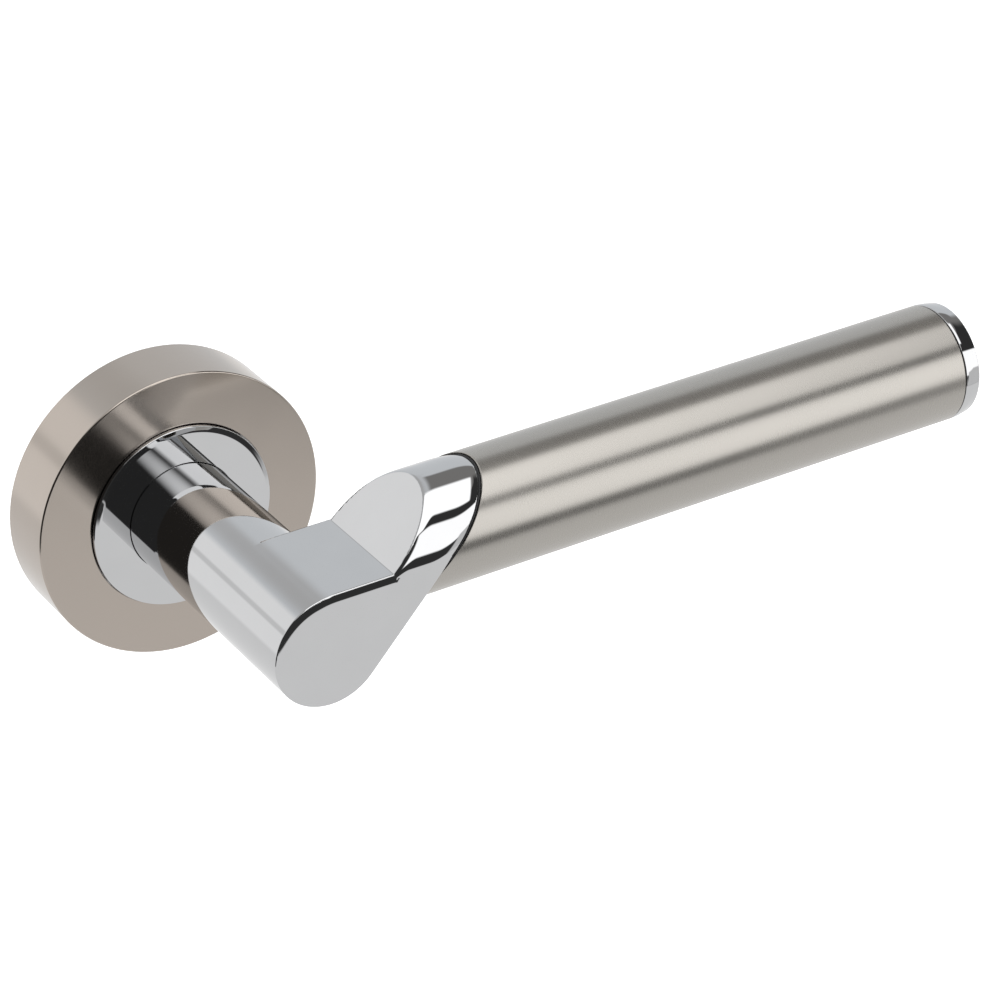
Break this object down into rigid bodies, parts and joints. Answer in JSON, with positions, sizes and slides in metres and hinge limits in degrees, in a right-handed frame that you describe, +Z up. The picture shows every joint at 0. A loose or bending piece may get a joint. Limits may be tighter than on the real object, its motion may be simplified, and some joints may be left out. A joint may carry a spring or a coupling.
{
  "type": "lever door handle on round rose",
  "caption": "Door lever on a round rose: straight round grip offset above its neck by a flat-fronted polished elbow, satin rose with a raised polished disc, return spring and spindle inside.",
  "frame": {"origin": "on the spindle's axis at the door's face, midway between the two fixing lugs", "axes": "+X along the grip towards its end cap, +Z up, +Y into the door along the spindle; the handle stands out on -Y"},
  "size_m": [0.1546, 0.0823, 0.052],
  "materials": {
    "satin_nickel": "satin nickel plate, fine circular and round-the-grip brushing",
    "polished_chrome": "mirror-polished chrome plate",
    "zinc_casting": "as-cast zinc alloy",
    "plain_steel": "zinc-plated steel",
    "spring_steel": "oiled spring steel",
    "nylon": "natural nylon",
    "rubber": "black rubber"
  },
  "bodies": {
    "rose": {"rose_cover": "satin_nickel", "rose_trim_disc": "polished_chrome", "rose_base": "zinc_casting", "cover_o_ring": "rubber", "neck_bush": "nylon", "spring_plate": "plain_steel", "spring_plate_screws": "plain_steel"},
    "lever": {"elbow": "polished_chrome", "joint_gasket": "rubber", "grip_tube": "satin_nickel", "tie_rod": "plain_steel", "tube_plug": "zinc_casting", "cap_gasket": "rubber", "end_cap": "polished_chrome", "spindle": "plain_steel", "grub_screw": "spring_steel", "drive_plate": "plain_steel", "retaining_ring": "spring_steel", "return_spring": "spring_steel", "spring_washer": "spring_steel"}
  },
  "joints": [
    {"name": "lever_turn", "type": "hinge", "parent": "rose", "child": "lever", "pos_m": [0, 0, 0], "axis": [0, 1, 0], "range_deg": [0, 45], "stiffness_Nm_per_rad": 1, "springref_deg": -28.65}
  ]
}
